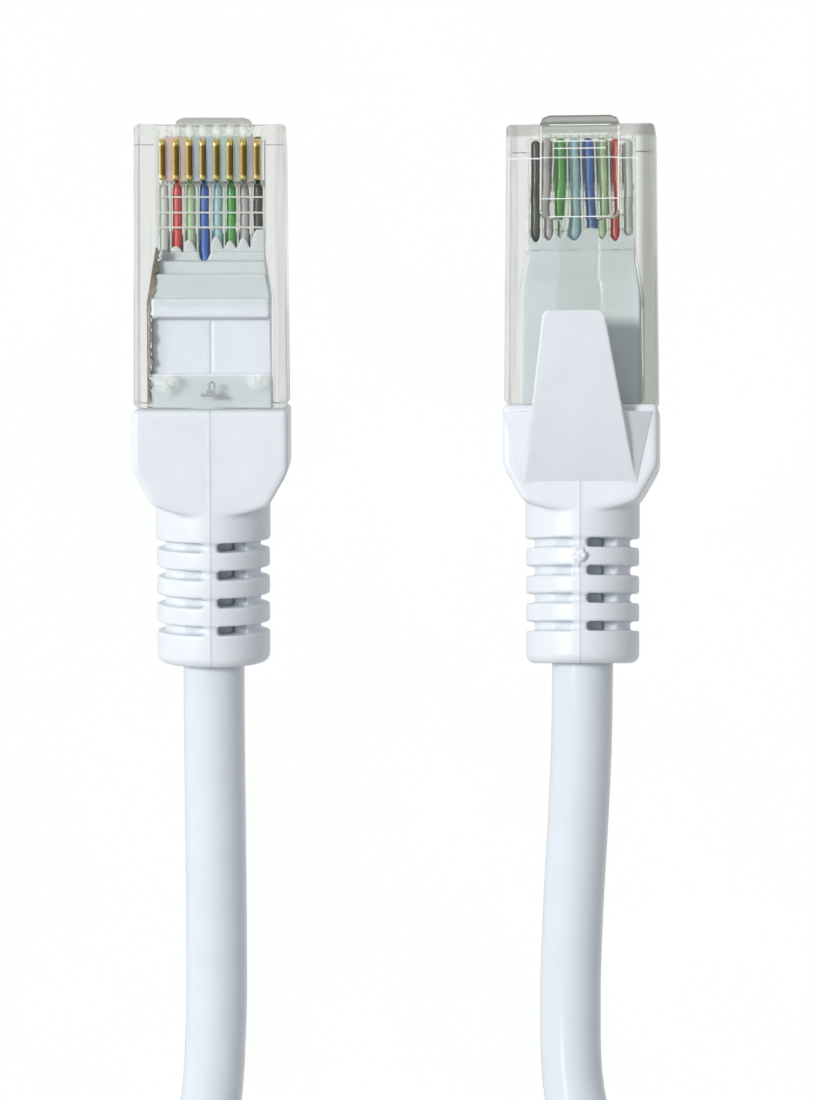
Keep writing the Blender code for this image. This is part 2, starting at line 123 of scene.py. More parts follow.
# The cable and its hank, in millimetres in the part's own frame
CABLE_RADIUS = 2.35
HANK_INNER_RADIUS = 8 * CABLE_RADIUS
HANK_OUTER_RADIUS = HANK_INNER_RADIUS + 2 * CABLE_RADIUS
HANK_X = -1.0
HANK_TOP_Y = -88.0
HANK_RUN = 39.5
HANK_FAR_Y = HANK_TOP_Y - HANK_RUN
LOWER_LAYER = CABLE_RADIUS
UPPER_LAYER = 3 * CABLE_RADIUS
ROUTE_SPACING = 1.5

VOXEL = 0.13


# ---------------------------------------------------------------- mesh helpers

def placed(name, data):
    """A new object in the scene."""
    obj = bpy.data.objects.new(name, data)
    bpy.context.scene.collection.objects.link(obj)
    return obj


def temporary(bm):
    mesh = bpy.data.meshes.new("temporary")
    bm.to_mesh(mesh)
    bm.free()
    return placed("temporary", mesh)


def bake(obj):
    """Return the object's evaluated mesh and remove the object."""
    bpy.context.view_layer.update()
    evaluated = obj.evaluated_get(bpy.context.evaluated_depsgraph_get())
    mesh = bpy.data.meshes.new_from_object(evaluated)
    bpy.data.objects.remove(obj)
    return mesh


def combined(mesh, tool, operation):
    body = placed("body", mesh)
    cutter = placed("cutter", tool)
    modifier = body.modifiers.new("Boolean", "BOOLEAN")
    modifier.operation = operation
    modifier.object = cutter
    result = bake(body)
    bpy.data.objects.remove(cutter)
    return result


def cut(mesh, *tools):
    for tool in tools:
        mesh = combined(mesh, tool, "DIFFERENCE")
    return mesh


def join(mesh, *tools):
    for tool in tools:
        mesh = combined(mesh, tool, "UNION")
    return mesh


def add_bevel(obj, width, segments):
    modifier = obj.modifiers.new("Bevel", "BEVEL")
    modifier.width = width
    modifier.segments = segments
    modifier.limit_method = "ANGLE"
    modifier.angle_limit = BEVEL_ANGLE
    return modifier


def bevelled(mesh, width, segments=3):
    obj = placed("temporary", mesh)
    add_bevel(obj, width, segments)
    return bake(obj)


def moulded(mesh, voxel=VOXEL, passes=5):
    """Soften a sharp solid as moulding does: voxel remesh, then smooth."""
    obj = placed("temporary", mesh)
    remesh = obj.modifiers.new("Remesh", "REMESH")
    remesh.mode = "VOXEL"
    remesh.voxel_size = voxel
    smooth = obj.modifiers.new("Smooth", "SMOOTH")
    smooth.factor = 0.5
    smooth.iterations = passes
    mesh = bake(obj)
    mesh.shade_smooth()
    return mesh


def crisp(mesh, degrees=32):
    """Shade smooth over fine bevels only, so that flat faces stay flat."""
    mesh.shade_smooth()
    mesh.set_sharp_from_angle(angle=math.radians(degrees))
    return mesh


def add_box(bm, low, high):
    middle = (Vector(low) + Vector(high)) / 2
    size = Vector(high) - Vector(low)
    made = bmesh.ops.create_cube(bm, size=1.0)["verts"]
    bmesh.ops.scale(bm, verts=made, vec=size)
    bmesh.ops.translate(bm, verts=made, vec=middle)


def box(low, high):
    bm = bmesh.new()
    add_box(bm, low, high)
    return bake(temporary(bm))


def add_prism(bm, corners, offset):
    """Add the flat face through the corners, drawn out by the offset into a solid."""
    face = bm.faces.new([bm.verts.new(corner) for corner in corners])
    made = bmesh.ops.extrude_face_region(bm, geom=[face])["geom"]
    ends = [item for item in made if isinstance(item, bmesh.types.BMVert)]
    bmesh.ops.translate(bm, verts=ends, vec=offset)


def prism(corners, offset):
    bm = bmesh.new()
    add_prism(bm, corners, offset)
    bmesh.ops.recalc_face_normals(bm, faces=bm.faces)
    return bake(temporary(bm))


def plate(outline, low, high):
    """An XY outline stretched from z = low to z = high."""
    return prism([(x, y, low) for x, y in outline], (0, 0, high - low))


def side_wedge(outline):
    """A (y, z) outline stretched across the plug's whole width."""
    return prism([(-6.0, y, z) for y, z in outline], (12.0, 0, 0))


def mirrored(points):
    return points + [(-x, y) for x, y in reversed(points) if x > 0]


def skin(bm, rings):
    """Close a row of rings, each a list of corners, into one solid."""
    count = len(rings[0])
    for ring, following in zip(rings, rings[1:]):
        for side in range(count):
            after = (side + 1) % count
            bm.faces.new((ring[side], following[side], following[after], ring[after]))
    bm.faces.new(rings[0])
    bm.faces.new(reversed(rings[-1]))
    bmesh.ops.recalc_face_normals(bm, faces=bm.faces)


def turned_y(profile, sides=96):
    """Turn a profile of (radius, y) points, which starts and ends on the axis, about Y."""
    bm = bmesh.new()
    verts = [bm.verts.new((radius, y, 0)) for radius, y in profile]
    for first, second in zip(verts, verts[1:]):
        bm.edges.new((first, second))
    bmesh.ops.spin(bm, geom=bm.verts[:] + bm.edges[:], axis=(0, 1, 0), cent=(0, 0, 0), steps=sides,
                   angle=2 * math.pi, use_merge=True)
    bmesh.ops.remove_doubles(bm, verts=bm.verts, dist=0.0005)
    bmesh.ops.recalc_face_normals(bm, faces=bm.faces)
    return bake(temporary(bm))


def join_loose(*meshes):
    """Put meshes together without a Boolean."""
    bm = bmesh.new()
    for mesh in meshes:
        bm.from_mesh(mesh)
    return bake(temporary(bm))


def interpolated(table, y):
    """Straight-line value at y from (y, value) rows that run from front to rear."""
    for (front, first), (rear, last) in zip(table, table[1:]):
        if y >= rear:
            return first + (last - first) * (front - y) / (front - rear)
    return table[-1][1]


def pin_x(index):
    """Place of a pin across the plug, seen from the latch side; pin 1 is at +x."""
    return ((PIN_COUNT + 1) / 2 - index) * PIN_PITCH


# ---------------------------------------------------------------- plug frames

def joint_named(name):
    return next(joint for joint in frame["joints"] if joint["name"] == name)


def plug_matrix(suffix):
    """From the plug's own frame in millimetres to the row frame in metres."""
    mount = next(m for m in frame["record"]["mounts"] if m["name"] == "nose_" + suffix)
    along = Vector(mount["axis"]).normalized()
    across = Vector(joint_named("latch_press_" + suffix)["axis"]).normalized()
    up = across.cross(along).normalized()
    origin = Vector(mount["pos_m"]) - up * NOSE_MOUNT_HEIGHT * MM
    turn = Matrix((across, along, up)).transposed().to_4x4()
    return Matrix.Translation(origin) @ turn @ Matrix.Scale(MM, 4)


PLUGS = {suffix: plug_matrix(suffix) for suffix in ("a", "b")}


def piece(name, mesh, suffix, body, mat, replaced=()):
    """Put a mesh drawn in a plug's frame in its place, and remember that frame's coordinates."""
    made = mesh.copy()
    local = made.attributes.new("plug", "FLOAT_VECTOR", "POINT")
    for index, vert in enumerate(made.vertices):
        local.data[index].vector = vert.co
    made.transform(PLUGS[suffix])
    made.materials.clear()
    made.materials.append(mat)
    obj = placed(name + "_" + suffix, made)
    if body:
        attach(obj, body)
    for node in replaced:
        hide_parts(node)
    return obj


# ---------------------------------------------------------------- materials

BLACK = (0.0, 0.0, 0.0)
WHITE = (1.0, 1.0, 1.0)

# From pin 1 to pin 8
WIRE_COLOURS = (
    (0.66, 0.68, 0.67),
    (0.66, 0.060, 0.055),
    (0.47, 0.66, 0.40),
    (0.045, 0.14, 0.52),
    (0.42, 0.62, 0.74),
    (0.09, 0.38, 0.07),
    (0.52, 0.45, 0.50),
    (0.060, 0.050, 0.055),
)
WIRE_SLOTS = ("wire_orange_white", "wire_red", "wire_green_white", "wire_blue", "wire_blue_white",
              "wire_green", "wire_brown_white", "wire_dark_brown")

PLASTIC_IOR = 1.5
MOTTLE_SCALE = 420.0
GRAIN_SCALE = 9000.0
GRAIN_DEPTH = 0.02 * MM
SCATTER_REACH = (0.9, 0.95, 1.0)
SCATTER_DEPTH = 0.4 * MM
SEAM_TINT = (0.80, 0.80, 0.81)

CLEAR_TINT = (0.935, 0.948, 0.928)
CLEAR_ABSORBED = (0.27, 0.31, 0.25)
CLEAR_DENSITY = 34.0
CLEAR_IOR = 1.33
CLEAR_ROUGHNESS = 0.05
RIPPLE_DEPTH = 0.05 * MM
# The nose's grey: partly its thick plastic, partly painted shade.
NOSE_SHADE_TINT = (0.86, 0.88, 0.84)
NOSE_REAR = -0.95
NOSE_BLUR = 0.12
NOSE_UNDERSIDE = (1.5, 2.5)
NOSE_SATIN = 0.5
EDGE_SATIN = 0.3
# Millimetres across from the middle of the plug, from where each effect starts to where it is full
SIDE_WALL = (4.3, 4.8)
OUTER_EDGE = (5.1, 5.35)
STREAK_SCALE = (1.9, 0.06, 0.5)
STREAK_DARK = 0.80

FROST_TINT = (0.90, 0.93, 0.90)
# The dividers' own haze, and its share against the painted reflection of the wires
DIVIDER_HAZE = (0.72, 0.72, 0.70)
DIVIDER_HAZE_SHARE = 0.42
# Cloudy marks at both ends of the housing's rear bridge: middle x and y, half width, half depth
CLOUD_SPOTS = ((3.4, -19.5, 1.25, 0.95), (-3.5, -19.4, 1.25, 0.85))
CLOUD_WHITE = (0.97, 0.98, 0.98, 1.0)
GOLD_BRIGHT = (0.80, 0.62, 0.22)
GOLD_DARK_TOP = (0.19, 0.125, 0.030)


class Nodes:
    """A material's node tree, with short ways to add to it; most of them return an output socket."""

    def __init__(self, name):
        self.material = bpy.data.materials.new(name)
        self.material.use_nodes = True
        self.tree = self.material.node_tree
        self.shader = self.tree.nodes["Principled BSDF"]
        self.output = self.tree.nodes["Material Output"]

    def add(self, kind, **values):
        """Add a node, and give its inputs or else its own settings their values."""
        node = self.tree.nodes.new(kind)
        for name, value in values.items():
            if name in node.inputs:
                node.inputs[name].default_value = value
            else:
                setattr(node, name, value)
        return node

    def link(self, source, target):
        self.tree.links.new(source, target)

    def feed(self, target, value):
        """Give an input socket another node's output, or a plain value."""
        if isinstance(value, bpy.types.NodeSocket):
            self.link(value, target)
        else:
            target.default_value = value

    def set(self, **values):
        """Feed the Principled shader's inputs."""
        for name, value in values.items():
            self.feed(self.shader.inputs[name.replace("_", " ")], value)

    def math(self, operation, *values):
        node = self.add("ShaderNodeMath", operation=operation)
        for target, value in zip(node.inputs, values):
            self.feed(target, value)
        return node.outputs["Value"]

    def vector_math(self, operation, *values):
        node = self.add("ShaderNodeVectorMath", operation=operation)
        for target, value in zip(node.inputs, values):
            self.feed(target, value)
        return node.outputs["Value" if operation == "LENGTH" else "Vector"]

    def axis(self, vector, name):
        split = self.add("ShaderNodeSeparateXYZ")
        self.link(vector, split.inputs["Vector"])
        return split.outputs[name]

    def ranged(self, value, start=0.0, end=1.0, low=0.0, high=1.0):
        """From low to high while the value goes from start to end."""
        node = self.add("ShaderNodeMapRange")
        self.link(value, node.inputs["Value"])
        for name, limit in (("From Min", start), ("From Max", end), ("To Min", low), ("To Max", high)):
            node.inputs[name].default_value = limit
        return node.outputs["Result"]

    def noise(self, scale, detail=4.0, place=None):
        if place is None:
            place = self.add("ShaderNodeTexCoord").outputs["Object"]
        node = self.add("ShaderNodeTexNoise", Scale=scale, Detail=detail)
        self.link(place, node.inputs["Vector"])
        return node.outputs["Fac"]

    def ramp(self, source, *stops):
        node = self.add("ShaderNodeValToRGB")
        elements = node.color_ramp.elements
        while len(elements) < len(stops):
            elements.new(0.5)
        for element, (position, colour) in zip(elements, stops):
            element.position = position
            element.color = (*colour, 1.0)
        self.link(source, node.inputs["Fac"])
        return node.outputs["Color"]

    def blended(self, kind, first, second, share=1.0):
        mix = self.add("ShaderNodeMix", data_type="RGBA", blend_type=kind)
        for socket, value in ((0, share), (6, first), (7, second)):
            self.feed(mix.inputs[socket], value)
        return mix.outputs[2]

    def product(self, first, second):
        return self.blended("MULTIPLY", first, second)

    def bump(self, height, strength, distance):
        bump = self.add("ShaderNodeBump", Strength=strength, Distance=distance)
        self.link(height, bump.inputs["Height"])
        self.set(Normal=bump.outputs["Normal"])

    def mix_surface(self, share, first, second):
        """Make the surface the first node's shader, and the second's by the share."""
        mix = self.add("ShaderNodeMixShader")
        for target, source in zip(mix.inputs, (share, first.outputs[0], second.outputs[0])):
            self.link(source, target)
        self.link(mix.outputs["Shader"], self.output.inputs["Surface"])


def mixed(colour, other, share):
    return tuple(a * (1 - share) + b * share for a, b in zip(colour, other))


def stored_place(nodes):
    """Plug-frame coordinates, in millimetres, that a piece carries in its mesh."""
    return nodes.add("ShaderNodeAttribute", attribute_name="plug").outputs["Vector"]


def plug_place(nodes, suffix):
    """Plug-frame coordinates, in millimetres, worked out from the row frame, for the CAD's own meshes."""
    inverse = PLUGS[suffix].inverted()
    place = nodes.add("ShaderNodeTexCoord")
    mapping = nodes.add("ShaderNodeMapping")
    mapping.inputs["Location"].default_value = inverse.to_translation()
    mapping.inputs["Rotation"].default_value = inverse.to_quaternion().to_euler()
    mapping.inputs["Scale"].default_value = (1 / MM, 1 / MM, 1 / MM)
    nodes.link(place.outputs["Object"], mapping.inputs["Vector"])
    return mapping.outputs["Vector"]


def parting_line(nodes):
    """The thin line where the two halves of the mould met, as a tint along the middle of the piece."""
    away = nodes.math("ABSOLUTE", nodes.axis(stored_place(nodes), "X"))
    return nodes.ramp(away, (0.045, SEAM_TINT), (0.085, WHITE))


def plastic(name, colour, roughness, mottling=0.03, grain_strength=0.08, subsurface=0.0, line=False):
    """Opaque moulded plastic: faint mottling in colour and gloss, and a fine moulded grain."""
    nodes = Nodes(name)
    mottle = nodes.noise(MOTTLE_SCALE)
    tint = nodes.ramp(mottle, (0.3, mixed(colour, BLACK, mottling)), (0.7, mixed(colour, WHITE, mottling)))
    if line:
        tint = nodes.product(tint, parting_line(nodes))
    gloss = nodes.ranged(mottle, low=roughness * 0.85, high=roughness * 1.15)
    nodes.set(Base_Color=tint, Roughness=gloss, IOR=PLASTIC_IOR)
    nodes.bump(nodes.noise(GRAIN_SCALE, 2.0), grain_strength, GRAIN_DEPTH)
    if subsurface:
        nodes.set(Subsurface_Weight=subsurface, Subsurface_Radius=SCATTER_REACH,
                  Subsurface_Scale=SCATTER_DEPTH)
    return nodes.material


def nose_share(nodes, place, rear):
    """1 on the thick nose on the latch side, 0 elsewhere: where the nose's grey, partly painted shade, and its
    satin go.
    """
    forward = nodes.ranged(nodes.axis(place, "Y"), rear - NOSE_BLUR, rear + NOSE_BLUR)
    upward = nodes.ranged(nodes.axis(place, "Z"), *NOSE_UNDERSIDE)
    return nodes.math("MULTIPLY", forward, upward)


def wall_share(nodes, place, reach):
    """0 in the middle of the plug, 1 out at both its side walls."""
    return nodes.ranged(nodes.math("ABSOLUTE", nodes.axis(place, "X")), *reach)


def shaded_side_share(nodes, place):
    """0 over most of the housing, 1 along the wall on pin 1's side, where the painted shade of that wall goes."""
    return nodes.ranged(nodes.axis(place, "X"), *SIDE_WALL)


def streaks(nodes, place):
    """Faint dark and light streaks that run along the plug's side walls, as flow marks do."""
    cloud = nodes.noise(1.0, 2.0, nodes.vector_math("MULTIPLY", place, STREAK_SCALE))
    dark = nodes.ramp(cloud, (0.36, (STREAK_DARK,) * 3), (0.52, WHITE))
    return nodes.blended("MIX", (*WHITE, 1.0), dark, wall_share(nodes, place, SIDE_WALL))


def clear_plastic(name, suffix=None, nose_shade_tint=NOSE_SHADE_TINT, side_shade_tint=WHITE, nose_rear=NOSE_REAR):
    """Clear moulded polycarbonate, greyer on the thick nose (partly its thickness, partly painted shade), darker
    along the wall on pin 1's side as painted shade where a side tint is given, with faint flow ripples.
    """
    nodes = Nodes(name)
    place = plug_place(nodes, suffix) if suffix else stored_place(nodes)
    absorption = nodes.add("ShaderNodeVolumeAbsorption", Color=(*CLEAR_ABSORBED, 1.0), Density=CLEAR_DENSITY)
    nodes.link(absorption.outputs["Volume"], nodes.output.inputs["Volume"])
    nose = nose_share(nodes, place, nose_rear)
    # Painted shade: the greyer nose and the darker wall on pin 1's side.
    tint = nodes.product(nodes.ramp(nose, (0.0, CLEAR_TINT), (1.0, nose_shade_tint)),
                         nodes.ramp(shaded_side_share(nodes, place), (0.0, WHITE), (1.0, side_shade_tint)))
    gloss = nodes.ranged(nodes.noise(500.0), low=CLEAR_ROUGHNESS * 0.5, high=CLEAR_ROUGHNESS * 1.5)
    satin = nodes.math("MULTIPLY_ADD", nose, NOSE_SATIN, gloss)
    satin = nodes.math("MULTIPLY_ADD", wall_share(nodes, place, OUTER_EDGE), EDGE_SATIN, satin)
    nodes.set(Base_Color=nodes.product(tint, streaks(nodes, place)), Roughness=satin, IOR=CLEAR_IOR,
              Transmission_Weight=1.0)
    nodes.bump(nodes.noise(900.0, 1.0), 0.12, RIPPLE_DEPTH)
    path = nodes.add("ShaderNodeLightPath")
    unbent = nodes.math("MAXIMUM", path.outputs["Is Shadow Ray"], path.outputs["Is Diffuse Ray"])
    through = nodes.add("ShaderNodeBsdfTransparent", Color=(*CLEAR_TINT, 1.0))
    nodes.mix_surface(unbent, nodes.shader, through)
    return nodes.material


def frosted_plastic(name, cover, light=1.0):
    """Cloudy polycarbonate of thin ribs and marks, which catches the light; cover is how opaque it is."""
    nodes = Nodes(name)
    dull = tuple(value * light for value in FROST_TINT)
    nodes.set(Base_Color=nodes.ramp(nodes.noise(1200.0), (0.3, dull), (0.7, (light,) * 3)),
              Roughness=0.35, Alpha=cover)
    return nodes.material


def cloud_plastic():
    """Cloudy marks in clear plastic: noise that fades out from the middle of each mark."""
    nodes = Nodes("cloudy_polycarbonate")
    place = stored_place(nodes)
    patches = nodes.ramp(nodes.noise(1.7, 3.0, place), (0.32, BLACK), (0.72, WHITE))
    fades = []
    for x, y, wide, deep in CLOUD_SPOTS:
        offset = nodes.vector_math("SUBTRACT", place, (x, y, 0.0))
        reach = nodes.vector_math("LENGTH", nodes.vector_math("MULTIPLY", offset, (1 / wide, 1 / deep, 0.0)))
        fades.append(nodes.ramp(reach, (0.1, (0.75, 0.75, 0.75)), (0.95, BLACK)))
    cover = fades[0]
    for fade in fades[1:]:
        cover = nodes.blended("ADD", cover, fade)
    nodes.set(Base_Color=CLOUD_WHITE, Roughness=0.5, Alpha=nodes.product(cover, patches))
    return nodes.material


def divider_plastic():
    """The hazy dividers between the contacts: a grey haze of their own, mixed with the colours of the wires on
    both sides of each as painted reflection.
    """
    nodes = Nodes("divider_painted_reflection")
    across = nodes.ranged(nodes.axis(stored_place(nodes), "X"), pin_x(1), pin_x(PIN_COUNT))
    stops = []
    for gap, (near, far) in enumerate(zip(WIRE_COLOURS, WIRE_COLOURS[1:])):
        # Painted reflection: each divider takes the mean colour of its two wires.
        tinge = mixed(mixed(near, far, 0.5), DIVIDER_HAZE, DIVIDER_HAZE_SHARE)
        stops.append(((gap + 0.5) / (PIN_COUNT - 1), tinge))
    cover = nodes.ranged(nodes.noise(900.0), low=0.6, high=0.9)
    nodes.set(Base_Color=nodes.ramp(across, *stops), Roughness=0.5, Alpha=cover)
    return nodes.material


def gold_plate():
    """Gold plate: bright at both ends of a blade, dark bronze along the middle of its top."""
    nodes = Nodes("gold_plate")
    along = nodes.ranged(nodes.axis(stored_place(nodes), "Y"), CONTACT_REAR, CONTACT_FRONT)
    grain = nodes.noise(2500.0)
    tint = nodes.ramp(nodes.math("MULTIPLY_ADD", grain, 0.08, along), (0.10, GOLD_BRIGHT), (0.17, GOLD_DARK_TOP),
                      (0.86, GOLD_DARK_TOP), (0.92, GOLD_BRIGHT))
    nodes.set(Base_Color=tint, Roughness=nodes.ranged(grain, low=0.22, high=0.42), Metallic=1.0)
    return nodes.material


CLEAR = {
    "a": clear_plastic("clear_polycarbonate_a", "a"),
    # Plug B: a greyer nose, partly painted shade, and painted shade along the wall on pin 1's side.
    "b": clear_plastic("clear_polycarbonate_b", "b", (0.68, 0.70, 0.66), side_shade_tint=(0.54, 0.55, 0.525)),
}
# The latch's hook is grey, partly for its thickness and partly as painted shade.
CLEAR_LATCH = clear_plastic("clear_latch", nose_shade_tint=(0.48, 0.495, 0.46), nose_rear=-0.3)
WHITE_PVC = plastic("white_pvc", (0.72, 0.76, 0.80), 0.42, subsurface=0.15)
# The tongue is the boot's own PVC, painted a little darker as painted shade.
SHADED_TONGUE_PVC = plastic("tongue_pvc_painted_shade", (0.68, 0.715, 0.755), 0.42, subsurface=0.15)
SEAMED_PVC = plastic("seamed_pvc", (0.72, 0.76, 0.80), 0.42, subsurface=0.15, line=True)
MOULD_WHITE = plastic("mould_white", (0.72, 0.757, 0.81), 0.5, subsurface=0.6)
DARK_GAP = plastic("dark_gap", (0.17, 0.125, 0.075), 0.5, mottling=0.25)
GREY_MARK = frosted_plastic("grey_mark", 0.6, 0.42)
JACKET = plastic("white_jacket", (0.665, 0.715, 0.77), 0.15, grain_strength=0.02)
FROSTED = frosted_plastic("frosted_polycarbonate", 0.7)
FAINT_CLOUD = cloud_plastic()
FAINT_LOBE = frosted_plastic("hazy_polycarbonate", 0.32)
FAINT_LINE = frosted_plastic("grey_polycarbonate", 0.55, 0.42)
DIVIDER = divider_plastic()
BLACK_TIE = plastic("black_tie", (0.02, 0.02, 0.022), 0.45)
GOLD = gold_plate()
WIRES = [plastic(slot, colour, 0.35, mottling=0.06) for slot, colour in zip(WIRE_SLOTS, WIRE_COLOURS)]


# ---------------------------------------------------------------- boot and tongue

def boot_profile():
    """(radius, y) points of the boot's round part: its neck, its rings and its end ring."""
    points = [(0, BOOT_SHOULDER), (NECK_RADIUS, BOOT_SHOULDER), (NECK_RADIUS, NECK_END),
              (CORE_RADIUS, NECK_END)]
    for ring in range(RING_COUNT):
        front = RING_FIRST - ring * RING_PITCH
        rear = front - RING_THICKNESS
        points += [(CORE_RADIUS, front), (RING_RADIUS, front), (RING_RADIUS, rear), (CORE_RADIUS, rear)]
    points += [(CORE_RADIUS, END_RING_FRONT), (RING_RADIUS, END_RING_FRONT),
               (RING_RADIUS, BOOT_END + BOOT_END_CORNER), (RING_RADIUS - 0.2, BOOT_END + 0.2),
               (RING_RADIUS - BOOT_END_CORNER, BOOT_END), (0, BOOT_END)]
    return points


def boot_outline():
    """Half of the block's plan outline, with round shoulders and the round end of its flat face."""
    points = [(BOOT_HALF_WIDTH, BOOT_FRONT), (BOOT_HALF_WIDTH, BOOT_SHOULDER + 0.3),
              (BOOT_HALF_WIDTH - 0.1, BOOT_SHOULDER - 0.2), (BOOT_HALF_WIDTH - 0.35, BOOT_SHOULDER - 0.7)]
    steps = 12
    depth = BOOT_SHOULDER_END - BOOT_FLAT_END
    for step in range(steps + 1):
        across = 1 - step / steps
        points.append((NECK_RADIUS * across, BOOT_FLAT_END + depth * across ** 2))
    return points


def groove_windows():
    """The gaps between the rings: deep on one side of the rib and shallow on the other."""
    bm = bmesh.new()
    for groove in range(RING_COUNT + 1):
        rear = RING_FIRST - groove * RING_PITCH
        front = rear + RING_PITCH - RING_THICKNESS
        for side in (-1, 1):
            x_low, x_high = sorted((side * RIB_HALF_WIDTH, side * WINDOW_OUTER_X))
            for face in (-1, 1):
                floor = WINDOW_FLOOR if side == face else SHALLOW_WINDOW_FLOOR
                z_low, z_high = sorted((face * floor, face * 2 * BOOT_HALF_HEIGHT))
                add_box(bm, (x_low, rear, z_low), (x_high, front, z_high))
    return bake(temporary(bm))


def raise_seam(mesh):
    """Leave the mould's parting line as a low ridge along the middle of both faces."""
    for vert in mesh.vertices:
        near = 1 - abs(vert.co.x) / SEAM_HALF_WIDTH
        if near > 0 and abs(vert.co.z) > CORE_RADIUS - 0.5:
            vert.co.z += math.copysign(SEAM_HEIGHT * near, vert.co.z)


def boot_mesh():
    block = bevelled(plate(mirrored(boot_outline()), -BOOT_HALF_HEIGHT, BOOT_HALF_HEIGHT), 0.45, 4)
    rib = box((-RIB_HALF_WIDTH, END_RING_FRONT - 0.3, -RIB_HALF_HEIGHT),
              (RIB_HALF_WIDTH, NECK_END + 1, RIB_HALF_HEIGHT))
    bore = turned_y([(0, BOOT_FRONT + 1), (BORE_RADIUS, BOOT_FRONT + 1), (BORE_RADIUS, BOOT_END - 1),
                     (0, BOOT_END - 1)], 64)
    lip_line = box((-7.0, BOOT_FRONT - 0.62, BOOT_HALF_HEIGHT - 0.09),
                   (7.0, BOOT_FRONT - 0.45, BOOT_HALF_HEIGHT + 1))
    mesh = moulded(cut(join(block, turned_y(boot_profile()), rib), bore, groove_windows(), lip_line))
    raise_seam(mesh)
    return mesh


def tongue_half_width(y):
    share = (y - TONGUE_TIP) / (TONGUE_ROOT - TONGUE_TIP)
    return TONGUE_TIP_HALF_WIDTH + share * (TONGUE_ROOT_HALF_WIDTH - TONGUE_TIP_HALF_WIDTH)


def tongue_flanks():
    """The sloping faces that run from the tongue's sides down to the block's outer edges."""
    bm = bmesh.new()
    front = BOOT_FRONT - 0.6
    for side in (-1, 1):
        corners = [(side * (tongue_half_width(front) - 0.1), front, 5.66), (side * 5.75, front, 4.38),
                   (side * (TONGUE_ROOT_HALF_WIDTH + 0.05), TONGUE_ROOT, 4.38), (side * 1.0, front, 3.6),
                   (side * 5.6, front, 3.6), (side * 3.9, TONGUE_ROOT, 3.6), (side * 1.0, TONGUE_ROOT, 4.2)]
        verts = [bm.verts.new(corner) for corner in corners]
        bmesh.ops.convex_hull(bm, input=verts)
    return bake(temporary(bm))


def round_tip(bm):
    """Round the two upright corners of the tongue's tip."""
    upright = [edge for edge in bm.edges
               if all(vert.co.y > TONGUE_TIP - 0.1 for vert in edge.verts)
               and abs(edge.verts[0].co.x - edge.verts[1].co.x) < 0.01]
    bmesh.ops.bevel(bm, geom=upright, offset=0.5, segments=6, affect="EDGES", profile=0.5)


def tongue_mesh():
    """A gently arched wedge that overhangs the latch, its root sunk in the boot's block."""
    steps = 26
    bm = bmesh.new()
    rings = []
    for step in range(steps + 1):
        t = step / steps
        y = TONGUE_TIP + t * (TONGUE_ROOT - TONGUE_TIP)
        half = tongue_half_width(y)
        bottom = TONGUE_TIP_BOTTOM - TONGUE_BOTTOM_DROP * t
        top = TONGUE_TIP_TOP - TONGUE_SLOPE * t - TONGUE_CURVE * t ** TONGUE_CURVE_POWER
        corners = ((-half, y, bottom), (half, y, bottom), (half, y, top), (-half, y, top))
        rings.append([bm.verts.new(corner) for corner in corners])
    skin(bm, rings)
    round_tip(bm)
    mesh = moulded(join(bake(temporary(bm)), tongue_flanks()), 0.09, 4)
    for vert in mesh.vertices:
        reach = max(0.0, (vert.co.y - TONGUE_ROOT) / (TONGUE_TIP - TONGUE_ROOT))
        vert.co.x += TONGUE_LEAN * reach
    return mesh


BOOT = boot_mesh()
TONGUE = tongue_mesh()


# ---------------------------------------------------------------- inner mould

# How far behind the nose the moulded lip starts, across each wire from pin 1's side to pin 8's:
# at the wire's near edge, at its crest, and at its far edge
CONTACT_SIDE_LIP = (
    (9.75, 9.45, 9.85), (9.35, 9.20, 9.80), (8.90, 8.70, 9.75), (9.55, 10.55, 9.70),
    (8.85, 8.40, 9.60), (9.25, 8.75, 9.60), (9.05, 8.50, 9.60), (8.70, 7.95, 7.90),
)
LATCH_SIDE_LIP = (
    (8.15, 8.45, 7.95), (8.00, 8.85, 8.15), (7.95, 8.70, 8.05), (7.80, 7.75, 7.85),
    (8.00, 8.75, 8.10), (8.05, 8.70, 7.95), (7.95, 8.75, 8.15), (8.20, 8.90, 7.90),
)
LIP_HALF_WIDTH = 4.1
LIP_REAR = -11.2
LIP_CREST = 0.4
WIRE_GAP = 0.47

# Middle and radius of the lumps that make the gate mark
GATE_LUMPS = (
    (0.0, -33.05, 4.3, 0.55), (0.12, -32.55, 4.1, 0.34), (-0.15, -33.55, 4.15, 0.36),
    (0.1, -33.95, 3.85, 0.28), (-0.05, -32.15, 3.95, 0.22),
)
LUMP_FLATTENING = 0.85
LUMP_ROUGHNESS = 0.35

# (y, distance from the middle) of the two sides of the gap beside plug A's mould, from front to rear
GAP_WALL_SIDE = ((-9.3, 4.12), (-10.5, 4.34), (-12.2, 4.62), (-13.5, 4.84), (-21.0, 4.84))
GAP_MOULD_SIDE = ((-9.3, 4.02), (-10.5, 3.95), (-12.2, 4.18), (-13.5, 4.52), (-21.0, 4.62))


def lip_outline(scallops):
    """The lip's plan outline, its front edge running in and out across the eight wires."""
    steps = 8
    points = [(LIP_HALF_WIDTH, LIP_REAR), (LIP_HALF_WIDTH, -scallops[0][0])]
    for index, (near, crest, far) in enumerate(scallops, start=1):
        for step in range(steps + 1):
            t = step / steps
            if t < LIP_CREST:
                depth = near + (crest - near) * math.sin(math.pi / 2 * t / LIP_CREST)
            else:
                share = (t - LIP_CREST) / (1 - LIP_CREST)
                depth = crest + (far - crest) * (1 - math.cos(math.pi / 2 * share))
            points.append((pin_x(index) + WIRE_GAP * (1 - 2 * t), -depth))
    return points + [(-LIP_HALF_WIDTH, -scallops[-1][2]), (-LIP_HALF_WIDTH, LIP_REAR)]


